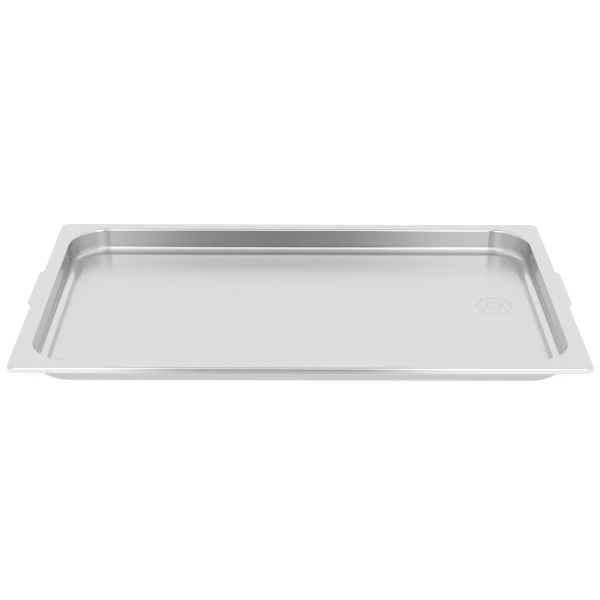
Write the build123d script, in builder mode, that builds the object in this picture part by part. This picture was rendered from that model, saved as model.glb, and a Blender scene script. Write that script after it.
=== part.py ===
from build123d import *
import math
import os

# Deli food pan, 1/1 gastronorm size, drawn from one sheet, with a drop handle on each short side.
# Origin: centre of the underside. +X runs along the long side, +Z is up. Millimetres.

# Sheet and overall size
sheet = 0.8
pan_length = 530.0
pan_width = 325.0
pan_height = 25.8

# Rim and its turned-down lip, which flares out a little towards its lower edge
rim_corner_radius = 9.0
lip_depth = 5.0
lip_flare = 15.0
lip_bend_radius = 2.4
rim_underside = pan_height - sheet
lip_bottom = pan_height - lip_depth
lip_width = sheet / math.cos(math.radians(lip_flare))

# Basin
basin_inset = 17.0
basin_corner_radius = 39.0
basin_draft = 3.0
mouth_radius = 2.6
floor_radius = 7.5

# Floor panel, raised a little so that the pan stands on a ring round it
panel_rise = 0.4
panel_foot_inset = 26.0
panel_top_inset = 31.2

# Flat tab in the middle of each short side, where the lip is cut away
tab_width = 77.0
tab_reach = 2.0
tab_corner_radius = 5.0
tab_plate_depth = 12.0
tab_centre = pan_length / 2 + tab_reach - tab_plate_depth / 2
relief_gap = 0.7
lip_cut_inset = 3.2

# Drop handles: a bent wire that turns in two clips
wire_radius = 2.0
running_gap = 0.05
handle_width = 66.0
handle_drop = 17.0
grip_bend_radius = 7.0
pivot_bend_radius = 3.0
pivot_reach = 49.0
wire_end_chamfer = 0.5

# Clips: a strip rolled round the wire, its leaf spot-welded under the rim
clip_sheet = 0.8
clip_width = 10.0
clip_centre = 42.0
leaf_inset = 13.4
bore_radius = wire_radius + running_gap
barrel_radius = bore_radius + clip_sheet
mouth_gap = 0.6
weld_radius = 1.6
weld_depth = 0.2
weld_taper = 60
half_turn = 180

# Pivot line of each handle
pivot_inset = 6.0
pivot_x = pan_length / 2 - pivot_inset
pivot_z = rim_underside - barrel_radius

basin_length = pan_length - 2 * basin_inset
basin_width = pan_width - 2 * basin_inset
inner_depth = pan_height - sheet
same_height = 0.01


def basin_edges(part, height):
    """Edges of the basin's outline that lie flat at a height, without those of the lip."""
    margin = basin_inset - lip_depth
    return (
        part.edges()
        .filter_by_position(Axis.Z, height - same_height, height + same_height)
        .filter_by(lambda edge: abs(edge.center().X) < pan_length / 2 - margin)
        .filter_by(lambda edge: abs(edge.center().Y) < pan_width / 2 - margin)
    )


def panel_outline(height, inset):
    """Rounded rectangle concentric with the basin, at an inset from the rim's outer face."""
    with BuildSketch(Plane.XY.offset(height)) as outline:
        RectangleRounded(
            pan_length - 2 * inset,
            pan_width - 2 * inset,
            basin_corner_radius - (inset - basin_inset),
        )
    return outline.sketch


def basin_form(top, depth, spread, bend):
    """Drafted basin with a rounded bottom edge; spread sets its faces outside the inner ones."""
    with BuildPart() as form:
        with BuildSketch(Plane.XY.offset(top)):
            RectangleRounded(basin_length + 2 * spread, basin_width + 2 * spread, basin_corner_radius + spread)
        extrude(amount=-depth, taper=basin_draft)
        fillet(form.faces().sort_by(Axis.Z)[0].edges(), bend)
    return form.part


basin_outside = basin_form(rim_underside, rim_underside, sheet, floor_radius + sheet)
basin_inside = basin_form(pan_height, inner_depth, 0, floor_radius)

# Pan shell
with BuildPart() as pan_shell:
    # Rim block, rounded over at the top where the lip turns down
    with BuildSketch(Plane.XY.offset(lip_bottom)):
        RectangleRounded(pan_length, pan_width, rim_corner_radius)
    extrude(amount=lip_depth, taper=lip_flare)
    fillet(pan_shell.faces().sort_by(Axis.Z)[-1].edges(), lip_bend_radius)
    # Hollow under the rim, which leaves the lip
    with BuildSketch(Plane.XY.offset(lip_bottom)):
        RectangleRounded(pan_length - 2 * lip_width, pan_width - 2 * lip_width, rim_corner_radius - lip_width)
    extrude(amount=lip_depth - sheet, taper=lip_flare, mode=Mode.SUBTRACT)
    hollow_top = pan_shell.edges().filter_by_position(Axis.Z, rim_underside, rim_underside)
    fillet(hollow_top, lip_bend_radius - sheet)
    # Basin, with its mouth rounded into the rim
    add(basin_outside)
    fillet(basin_edges(pan_shell, rim_underside), mouth_radius - sheet)
    add(basin_inside, mode=Mode.SUBTRACT)
    fillet(basin_edges(pan_shell, pan_height), mouth_radius)
    # Raised floor panel
    add(loft([panel_outline(sheet, panel_foot_inset), panel_outline(sheet + panel_rise, panel_top_inset)],
             mode=Mode.PRIVATE))
    add(loft([panel_outline(0, panel_foot_inset), panel_outline(panel_rise, panel_top_inset)],
             mode=Mode.PRIVATE), mode=Mode.SUBTRACT)
    # Lip cut away at the middle of both short sides
    with BuildSketch(Plane.XY.offset(lip_bottom)):
        with Locations((-pan_length / 2, 0), (pan_length / 2, 0)):
            Rectangle(2 * lip_cut_inset, tab_width + 2 * relief_gap)
    extrude(amount=lip_depth, mode=Mode.SUBTRACT)
    # Flat tabs, level with the rim
    with BuildSketch(Plane.XY.offset(rim_underside)):
        with Locations((-tab_centre, 0), (tab_centre, 0)):
            RectangleRounded(tab_plate_depth, tab_width, tab_corner_radius)
    extrude(amount=sheet)
pan_shell.part.label = "pan_shell"


def make_clip(side, across):
    """Clip on the left (-1) or right (+1) end; across is -1 for the front clip, +1 for the rear."""
    with BuildPart() as clip:
        # Barrel and leaf, drawn in the plane across the wire with the basin towards +X
        with BuildSketch(Plane.XZ) as section:
            Circle(barrel_radius)
            Circle(bore_radius, mode=Mode.SUBTRACT)
            with Locations((bore_radius, bore_radius / 2 + mouth_gap)):
                Rectangle(bore_radius, bore_radius - 2 * mouth_gap, mode=Mode.SUBTRACT)
            with Locations((0, bore_radius)):
                Rectangle(leaf_inset - pivot_inset, clip_sheet, align=(Align.MIN, Align.MIN))
        extrude(amount=clip_width / 2, both=True)
        # Spot-weld mark pressed into the leaf
        with BuildSketch(Plane.XY.offset(bore_radius)):
            with Locations(((leaf_inset - pivot_inset + bore_radius) / 2, 0)):
                Circle(weld_radius)
        extrude(amount=weld_depth, taper=weld_taper, mode=Mode.SUBTRACT)
    turned = clip.part if side < 0 else clip.part.rotate(Axis.Z, half_turn)
    return turned.translate(Vector(side * pivot_x, across * clip_centre, pivot_z))


def make_handle(side):
    """Wire handle hanging straight down from its pivot line on the left (-1) or right (+1) end."""
    x = side * pivot_x
    grip_z = pivot_z - handle_drop
    half = handle_width / 2
    with BuildPart() as handle:
        with BuildLine() as path:
            FilletPolyline(
                (x, -pivot_reach, pivot_z),
                (x, -half, pivot_z),
                (x, -half, grip_z),
                (x, half, grip_z),
                (x, half, pivot_z),
                (x, pivot_reach, pivot_z),
                radius=[pivot_bend_radius, grip_bend_radius, grip_bend_radius, pivot_bend_radius],
            )
        with BuildSketch(Plane(origin=(x, -pivot_reach, pivot_z), z_dir=(0, 1, 0))):
            Circle(wire_radius)
        sweep()
        ends = handle.faces().filter_by(Axis.Y)
        chamfer(ends.edges(), wire_end_chamfer)
    return handle.part


os.makedirs("parts", exist_ok=True)
export_step(pan_shell.part, "parts/pan_shell.step")

for side, side_name in ((-1, "left"), (1, "right")):
    drop_handle = make_handle(side)
    drop_handle.label = f"{side_name}_handle"
    export_step(drop_handle, f"parts/{side_name}_handle.step")
    for across, place_name in ((-1, "front"), (1, "rear")):
        clip = make_clip(side, across)
        clip.label = f"{side_name}_{place_name}_clip"
        export_step(clip, f"parts/{side_name}_{place_name}_clip.step")
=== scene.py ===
import bpy
import math
from mathutils import Matrix, Vector


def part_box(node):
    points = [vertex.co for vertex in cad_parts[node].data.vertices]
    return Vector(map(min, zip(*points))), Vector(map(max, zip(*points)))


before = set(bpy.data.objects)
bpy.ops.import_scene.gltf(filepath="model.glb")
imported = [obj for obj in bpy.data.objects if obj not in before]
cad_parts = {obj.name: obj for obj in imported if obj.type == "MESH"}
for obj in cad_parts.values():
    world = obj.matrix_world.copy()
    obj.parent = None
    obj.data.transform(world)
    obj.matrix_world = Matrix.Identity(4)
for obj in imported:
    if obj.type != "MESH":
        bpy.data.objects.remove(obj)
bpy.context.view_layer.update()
scene = bpy.context.scene

# ---------------------------------------------------------------- measures, in metres
PAN_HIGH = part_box("pan_shell")[1]
PAN_TOP = PAN_HIGH.z
TAB_REACH = 0.002
HALF_LENGTH = PAN_HIGH.x - TAB_REACH
HALF_WIDTH = PAN_HIGH.y
RIM_CORNER = 0.009
PANEL_INSET = 0.0312
PANEL_EDGE = 0.0004
PANEL_LOW = 0.003
PANEL_HIGH = 0.004

# Outer bend, mouth and walls of the basin, as insets from the rim's outline
BEND_INSET = 0.0012
MOUTH_INSET = 0.0158
WALL_INSET = 0.0150
WALL_INSET_FULL = 0.0160

# Etched mark: place on the floor, half sizes of its two hexagons, line and soft edge
MARK_X = 0.198
MARK_Y = 0.010
MARK_OUTER = 0.0165
MARK_INNER = 0.0075
MARK_LINE = 0.0005
MARK_SOFT = 0.0003
HEXAGON_TURN = math.pi / 6

# Handles and the spot welds of their clips
LEG_Y = 0.033
LEG_HALF = 0.0022
WORN_Y = 0.036
WELD_X = 0.25428
WELD_Y = 0.042
WELD_RING = 0.0021

# ---------------------------------------------------------------- finish of the pan
ROUGH_RING = 0.15
ROUGH_FLOOR = 0.24
ROUGH_RIM = 0.21
ROUGH_WALL = 0.12
ROUGH_CORNER = 0.34
ROUGH_GRAIN = 0.05
ROUGH_CLOUD = 0.04
ROUGH_RUBBED = 0.05
ROUGH_SCRATCH = 0.03
ROUGH_MARK = 0.10
DRAWN_NORMAL_START = 0.86
DRAWN_NORMAL_FULL = 0.50
# Painted shade: the walls' colour is darkened, and the short side walls darker still
WALL_PAINTED_SHADE = 0.80
SIDE_WALL_PAINTED_SHADE = 0.93
MARK_LEVEL = 0.88
BROAD_LEVEL = 0.014
GRAIN_LEVEL = 0.02
SCRATCH_LEVEL = 0.01
DULL_STEEL = (0.712, 0.710, 0.706, 1.0)
CLEAN_STEEL = (0.752, 0.751, 0.748, 1.0)
STRETCH = 0.5
GRAIN_LENGTHEN = 0.02
GRAIN_SCALE = 2600.0
GRAIN_HEIGHT = 0.0000015
WAVE_SCALE = 14.0
WAVE_HEIGHT = 0.00006
SCRATCH_HEIGHT = 0.000001
SCRATCH_SLANT = 0.35

# ---------------------------------------------------------------- light
# Each stop is a direction and a level: 0 is the front horizon, 0.5 overhead, 1 the back horizon
SKY_STRENGTH = 1.92
SKY_STOPS = (
    (0.0, 0.58), (0.06, 0.62), (0.14, 0.72), (0.17, 0.90), (0.25, 0.92), (0.34, 0.60),
    (0.42, 0.49), (0.50, 0.47), (0.67, 0.48), (0.83, 0.52), (1.0, 0.52),
)
GAP_STOPS = (
    (0.0, 0.84), (0.11, 0.90), (0.14, 0.72), (0.18, 0.14), (0.25, 0.08),
    (0.35, 0.40), (0.50, 0.40), (0.60, 0.20), (0.68, 0.0),
)
GAP_CENTRE = -0.016
GAP_HALF = 0.052
GAP_SOFT = 0.085
FACING_HALF = 0.30
FACING_SOFT = 0.16
SIDE_SKY = 1.0
FRONT_SKY = 3.0
BACKDROP = 1.0
FLOOR_REACH = 9.0
FLOOR_COLOUR = (0.30, 0.30, 0.30, 1.0)
FLOOR_GLOW = 0.82

# ---------------------------------------------------------------- camera
CAMERA_LENS = 78.63
CAMERA_SENSOR = 36.0
CAMERA_PITCH = 26.83
CAMERA_YAW = 0.263
CAMERA_ROLL = 0.252
CAMERA_PLACE = (-0.00533, -1.17837, 0.58262 + PAN_TOP)


# ---------------------------------------------------------------- node helpers
class Graph:
    """Short names for building a node tree out of math nodes."""

    def __init__(self, tree):
        self.nodes = tree.nodes
        self.links = tree.links

    def new(self, kind, **settings):
        node = self.nodes.new(kind)
        for key, value in settings.items():
            setattr(node, key, value)
        return node

    def put(self, socket, value):
        if isinstance(value, bpy.types.NodeSocket):
            self.links.new(value, socket)
        else:
            socket.default_value = value

    def math(self, operation, a, b=0.0):
        node = self.new("ShaderNodeMath", operation=operation)
        for socket, value in zip(node.inputs, (a, b)):
            self.put(socket, value)
        return node.outputs[0]

    def add(self, a, b):
        return self.math("ADD", a, b)

    def sub(self, a, b):
        return self.math("SUBTRACT", a, b)

    def mul(self, a, b):
        return self.math("MULTIPLY", a, b)

    def size(self, a):
        return self.math("ABSOLUTE", a)

    def vary(self, value, amount):
        """A noise about 0.5 turned into a swing of an amount about zero."""
        return self.mul(self.sub(value, 0.5), amount)

    def length(self, a, b):
        return self.math("SQRT", self.add(self.mul(a, a), self.mul(b, b)))

    def step(self, value, low, high, out_low=0.0, out_high=1.0):
        """Smooth step of a value between low and high."""
        node = self.new("ShaderNodeMapRange", interpolation_type="SMOOTHSTEP")
        for name, given in (("Value", value), ("From Min", low), ("From Max", high),
                            ("To Min", out_low), ("To Max", out_high)):
            self.put(node.inputs[name], given)
        return node.outputs["Result"]

    def band(self, value, centre, half, soft):
        """1 inside centre +- half, falling to 0 over soft."""
        away = self.size(self.sub(value, centre))
        return self.step(away, half, half + soft, 1.0, 0.0)

    def split(self, vector):
        node = self.new("ShaderNodeSeparateXYZ")
        self.links.new(vector, node.inputs[0])
        return node.outputs

    def join(self, x, y, z):
        node = self.new("ShaderNodeCombineXYZ")
        for socket, value in zip(node.inputs, (x, y, z)):
            self.put(socket, value)
        return node.outputs[0]

    def vector(self, operation, *values):
        node = self.new("ShaderNodeVectorMath", operation=operation)
        for socket, value in zip(node.inputs, values):
            self.put(socket, value)
        return node.outputs[0]

    def noise(self, vector, scale, detail):
        node = self.new("ShaderNodeTexNoise")
        self.links.new(vector, node.inputs["Vector"])
        node.inputs["Scale"].default_value = scale
        node.inputs["Detail"].default_value = detail
        return node.outputs["Fac"]

    def mix(self, factor, a, b):
        node = self.new("ShaderNodeMix", data_type="FLOAT")
        self.put(node.inputs["Factor"], factor)
        self.put(node.inputs["A"], a)
        self.put(node.inputs["B"], b)
        return node.outputs["Result"]

    def tint(self, factor, a, b):
        node = self.new("ShaderNodeMix", data_type="RGBA")
        self.put(node.inputs["Factor"], factor)
        for name, value in (("A", a), ("B", b)):
            socket = [s for s in node.inputs if s.name == name and s.type == "RGBA"][0]
            self.put(socket, value)
        return [s for s in node.outputs if s.type == "RGBA"][0]

    def ramp(self, value, stops):
        node = self.new("ShaderNodeValToRGB")
        self.links.new(value, node.inputs[0])
        elements = node.color_ramp.elements
        while len(elements) < len(stops):
            elements.new(0.5)
        for element, (place, level) in zip(elements, stops):
            element.position = place
            element.color = (level, level, level, 1.0)
        return node.outputs[0]

    def bump(self, shader, height):
        """Relief of a height in metres."""
        node = self.new("ShaderNodeBump")
        node.inputs["Strength"].default_value = 1.0
        node.inputs["Distance"].default_value = 1.0
        self.put(node.inputs["Height"], height)
        self.put(shader.inputs["Normal"], node.outputs[0])


def steel(name, colour):
    material = bpy.data.materials.new(name)
    material.use_nodes = True
    shader = material.node_tree.nodes["Principled BSDF"]
    shader.inputs["Metallic"].default_value = 1.0
    shader.inputs["Base Color"].default_value = (*colour, 1.0)
    return material, Graph(material.node_tree), shader


# ---------------------------------------------------------------- pan steel
def rim_inset(g, x, y):
    """Distance in from the rim's rounded outline, in metres."""
    over_x = g.sub(g.size(x), HALF_LENGTH - RIM_CORNER)
    over_y = g.sub(g.size(y), HALF_WIDTH - RIM_CORNER)
    outside = g.length(g.math("MAXIMUM", over_x, 0.0), g.math("MAXIMUM", over_y, 0.0))
    inside = g.math("MINIMUM", g.math("MAXIMUM", over_x, over_y), 0.0)
    return g.sub(RIM_CORNER, g.add(outside, inside))


def hexagon_mark(g, x, y, floor):
    """Plain hexagon etched in the floor panel, with a smaller one inside."""
    mark_x = g.size(g.sub(x, MARK_X))
    mark_y = g.size(g.sub(y, MARK_Y))
    slope = g.add(g.mul(mark_x, math.cos(HEXAGON_TURN)), g.mul(mark_y, math.sin(HEXAGON_TURN)))
    hexagon = g.math("MAXIMUM", slope, mark_y)
    outer = g.band(hexagon, MARK_OUTER, MARK_LINE, MARK_SOFT)
    inner = g.band(hexagon, MARK_INNER, MARK_LINE, MARK_SOFT)
    return g.mul(floor, g.math("MAXIMUM", outer, inner))


def pan_material():
    material, g, shader = steel("pan_satin_steel", (0.72, 0.718, 0.714))
    place = g.new("ShaderNodeTexCoord").outputs["Object"]
    x, y, z = g.split(place)
    normal = g.new("ShaderNodeNewGeometry").outputs["Normal"]
    nx, ny, nz = g.split(normal)
    inset = rim_inset(g, x, y)

    # Regions, told apart by how level the surface is, its inset and its height
    flat = g.step(nz, 0.990, 0.9985)
    steep = g.step(g.size(nz), 0.80, 0.45)
    panel = g.step(inset, PANEL_INSET - PANEL_EDGE, PANEL_INSET + PANEL_EDGE)
    floor = g.mul(g.mul(flat, panel), g.step(z, PANEL_HIGH, PANEL_LOW))
    rim = g.mul(flat, g.step(z, PAN_TOP - 0.002, PAN_TOP - 0.001))
    side_wall = g.step(g.size(nx), 0.55, 0.85)
    drawn = g.step(g.size(nz), DRAWN_NORMAL_START, DRAWN_NORMAL_FULL)
    drawn = g.mul(drawn, g.step(inset, WALL_INSET, WALL_INSET_FULL))
    drawn = g.mul(drawn, g.step(z, PAN_TOP - 0.0018, PAN_TOP - 0.0026))
    corner = g.mul(g.step(g.size(nx), 0.004, 0.06), g.step(g.size(ny), 0.08, 0.30))
    mark = hexagon_mark(g, x, y, floor)

    # Grain of the rolled sheet, which runs along X and climbs the short walls
    grain_x = g.noise(g.join(g.mul(x, GRAIN_LENGTHEN), y, z), GRAIN_SCALE, 2.0)
    grain_z = g.noise(g.join(x, y, g.mul(z, GRAIN_LENGTHEN)), GRAIN_SCALE, 2.0)
    grain = g.mix(side_wall, grain_x, grain_z)
    broad = g.noise(g.join(g.mul(x, 0.15), y, z), 45.0, 3.0)
    cloud = g.noise(place, 9.0, 4.0)
    along = g.mul(g.add(x, g.mul(y, SCRATCH_SLANT)), 0.05)
    across = g.sub(y, g.mul(x, SCRATCH_SLANT))
    scratches = g.step(g.noise(g.join(along, across, z), 420.0, 1.0), 0.72, 0.80)

    # Wear: bright rubbed metal on the outer bend and the mouth, where pans slide and stack
    bend = g.mul(g.band(inset, BEND_INSET, 0.0010, 0.0012), g.step(z, PAN_TOP - 0.006, PAN_TOP - 0.002))
    mouth = g.mul(g.band(inset, MOUTH_INSET, 0.0012, 0.0010), g.step(z, PAN_TOP - 0.004, PAN_TOP - 0.001))
    rubbed = g.mul(g.math("MAXIMUM", bend, mouth), g.step(cloud, 0.35, 0.65, 0.5, 1.0))

    # Roughness by region, with the stretched corners the mattest, varied by grain, clouds and wear
    rough = g.mix(floor, ROUGH_RING, ROUGH_FLOOR)
    rough = g.mix(rim, rough, ROUGH_RIM)
    rough = g.mix(steep, rough, ROUGH_WALL)
    rough = g.mix(g.mul(corner, drawn), rough, ROUGH_CORNER)
    rough = g.add(rough, g.vary(grain, ROUGH_GRAIN))
    rough = g.add(rough, g.vary(cloud, ROUGH_CLOUD))
    rough = g.sub(rough, g.mul(rubbed, ROUGH_RUBBED))
    rough = g.add(rough, g.mul(scratches, ROUGH_SCRATCH))
    rough = g.add(rough, g.mul(mark, ROUGH_MARK))
    g.put(shader.inputs["Roughness"], rough)

    # Colour: painted shade darkens the walls, the short side walls most, with faint streaks along the
    # grain
    level = g.add(1.0, g.vary(broad, BROAD_LEVEL))
    level = g.add(level, g.vary(grain, GRAIN_LEVEL))
    level = g.mul(level, g.mix(drawn, 1.0, WALL_PAINTED_SHADE))
    level = g.mul(level, g.mix(g.mul(drawn, side_wall), 1.0, SIDE_WALL_PAINTED_SHADE))
    level = g.mul(level, g.mix(mark, 1.0, MARK_LEVEL))
    level = g.sub(level, g.mul(scratches, SCRATCH_LEVEL))
    colour = g.tint(g.add(0.5, g.vary(cloud, 0.3)), DULL_STEEL, CLEAN_STEEL)
    scaled = g.new("ShaderNodeVectorMath", operation="SCALE")
    g.put(scaled.inputs[0], colour)
    g.put(scaled.inputs["Scale"], level)
    g.put(shader.inputs["Base Color"], scaled.outputs[0])

    # Highlights stretch across the grain
    tangent = g.vector("NORMALIZE", g.vector("CROSS_PRODUCT", normal, (1.0, 0.0, 0.15)))
    g.put(shader.inputs["Tangent"], tangent)
    shader.inputs["Anisotropic"].default_value = STRETCH

    # Relief: grain, the sheet's slight waviness and scratches
    height = g.vary(grain, GRAIN_HEIGHT)
    height = g.add(height, g.vary(g.noise(place, WAVE_SCALE, 1.0), WAVE_HEIGHT))
    height = g.sub(height, g.mul(scratches, SCRATCH_HEIGHT))
    g.bump(shader, height)
    return material


# ---------------------------------------------------------------- handle and clip steel
def handle_material():
    material, g, shader = steel("handle_drawn_wire", (0.68, 0.678, 0.675))
    place = g.new("ShaderNodeTexCoord").outputs["Object"]
    x, y, z = g.split(place)

    # Drawing lines follow the wire: along Y, and up the two legs
    lines_y = g.noise(g.join(x, g.mul(y, 0.03), z), 3200.0, 2.0)
    lines_z = g.noise(g.join(x, y, g.mul(z, 0.03)), 3200.0, 2.0)
    legs = g.mul(g.band(g.size(y), LEG_Y, LEG_HALF, 0.001), g.step(z, 0.010, 0.013))
    lines = g.mix(legs, lines_y, lines_z)
    cloud = g.noise(place, 60.0, 3.0)

    # The ends are worn where they turn in the clips
    worn = g.mul(g.step(g.size(y), WORN_Y, WORN_Y + 0.002), g.step(cloud, 0.4, 0.6, 0.4, 1.0))
    rough = g.add(0.2, g.vary(lines, 0.12))
    rough = g.add(rough, g.vary(cloud, 0.08))
    g.put(shader.inputs["Roughness"], g.add(rough, g.mul(worn, 0.08)))
    colour = g.tint(cloud, (0.63, 0.628, 0.62, 1.0), (0.72, 0.718, 0.715, 1.0))
    g.put(shader.inputs["Base Color"], colour)
    g.bump(shader, g.mul(lines, 0.000004))
    return material


def clip_material():
    material, g, shader = steel("clip_formed_strip", (0.66, 0.66, 0.66))
    place = g.new("ShaderNodeTexCoord").outputs["Object"]
    x, y, z = g.split(place)
    grain = g.noise(g.join(x, g.mul(y, 0.05), z), 2400.0, 2.0)
    cloud = g.noise(place, 120.0, 3.0)

    # Heat tint round the spot weld on the leaf
    away = g.length(g.sub(g.size(x), WELD_X), g.sub(g.size(y), WELD_Y))
    away = g.add(away, g.vary(cloud, 0.0008))
    heat = g.mul(g.band(away, WELD_RING, 0.0004, 0.0010), 0.55)
    plain = g.tint(cloud, (0.60, 0.60, 0.595, 1.0), (0.70, 0.70, 0.695, 1.0))
    g.put(shader.inputs["Base Color"], g.tint(heat, plain, (0.42, 0.33, 0.22, 1.0)))
    rough = g.add(0.30, g.vary(grain, 0.14))
    g.put(shader.inputs["Roughness"], g.add(rough, g.vary(cloud, 0.1)))
    g.bump(shader, g.mul(grain, 0.000004))
    return material


pan_steel = pan_material()
handle_steel = handle_material()
clip_steel = clip_material()
for name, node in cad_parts.items():
    finish = pan_steel
    if name.endswith("_handle"):
        finish = handle_steel
    if name.endswith("_clip"):
        finish = clip_steel
    node.material_slots[0].material = finish


# ---------------------------------------------------------------- studio
def studio_world():
    world = bpy.data.worlds.new("studio")
    scene.world = world
    world.use_nodes = True
    g = Graph(world.node_tree)
    background = world.node_tree.nodes["Background"]
    x, y, z = g.split(g.new("ShaderNodeTexCoord").outputs["Generated"])
    over = g.math("DIVIDE", g.math("ARCTAN2", z, g.mul(y, -1.0)), math.pi)
    sky = g.ramp(over, SKY_STOPS)
    # Darker strip between the two front lights, where the camera looks through
    gap = g.mul(g.band(x, GAP_CENTRE, GAP_HALF, GAP_SOFT), g.ramp(over, GAP_STOPS))
    light = g.mul(g.mul(sky, SKY_STRENGTH), g.sub(1.0, gap))
    # The front lights end at the sides, where the sky is no brighter than white
    facing = g.band(x, 0.0, FACING_HALF, FACING_SOFT)
    light = g.math("MINIMUM", light, g.mix(facing, SIDE_SKY, FRONT_SKY))
    # The backdrop itself is plain white
    seen = g.new("ShaderNodeLightPath").outputs["Is Camera Ray"]
    g.put(background.inputs["Strength"], g.mix(seen, light, BACKDROP))
    background.inputs["Color"].default_value = (1.0, 1.0, 1.0, 1.0)


def studio_floor():
    mesh = bpy.data.meshes.new("studio_floor")
    corners = [(-FLOOR_REACH, -FLOOR_REACH, 0), (FLOOR_REACH, -FLOOR_REACH, 0),
               (FLOOR_REACH, FLOOR_REACH, 0), (-FLOOR_REACH, FLOOR_REACH, 0)]
    mesh.from_pydata(corners, [], [(0, 1, 2, 3)])
    floor = bpy.data.objects.new("studio_floor", mesh)
    scene.collection.objects.link(floor)
    material = bpy.data.materials.new("studio_floor")
    material.use_nodes = True
    shader = material.node_tree.nodes["Principled BSDF"]
    shader.inputs["Base Color"].default_value = FLOOR_COLOUR
    shader.inputs["Roughness"].default_value = 0.9
    shader.inputs["Specular IOR Level"].default_value = 0.1
    shader.inputs["Emission Color"].default_value = (1.0, 1.0, 1.0, 1.0)
    shader.inputs["Emission Strength"].default_value = FLOOR_GLOW
    mesh.materials.append(material)


def studio_camera():
    lens = bpy.data.cameras.new("camera")
    lens.sensor_width = CAMERA_SENSOR
    lens.lens = CAMERA_LENS
    lens.clip_start = 0.01
    lens.clip_end = 100.0
    camera = bpy.data.objects.new("camera", lens)
    scene.collection.objects.link(camera)
    pitch, yaw, roll = (math.radians(angle) for angle in (CAMERA_PITCH, CAMERA_YAW, CAMERA_ROLL))
    ahead = Vector((math.sin(yaw) * math.cos(pitch), math.cos(yaw) * math.cos(pitch), -math.sin(pitch)))
    level = Vector((math.cos(yaw), -math.sin(yaw), 0.0))
    upward = level.cross(ahead)
    right = math.cos(roll) * level + math.sin(roll) * upward
    top = -math.sin(roll) * level + math.cos(roll) * upward
    pose = Matrix((right, top, -ahead)).transposed().to_4x4()
    pose.translation = Vector(CAMERA_PLACE)
    camera.matrix_world = pose
    scene.camera = camera


studio_world()
studio_floor()
studio_camera()
scene.view_settings.view_transform = "Standard"
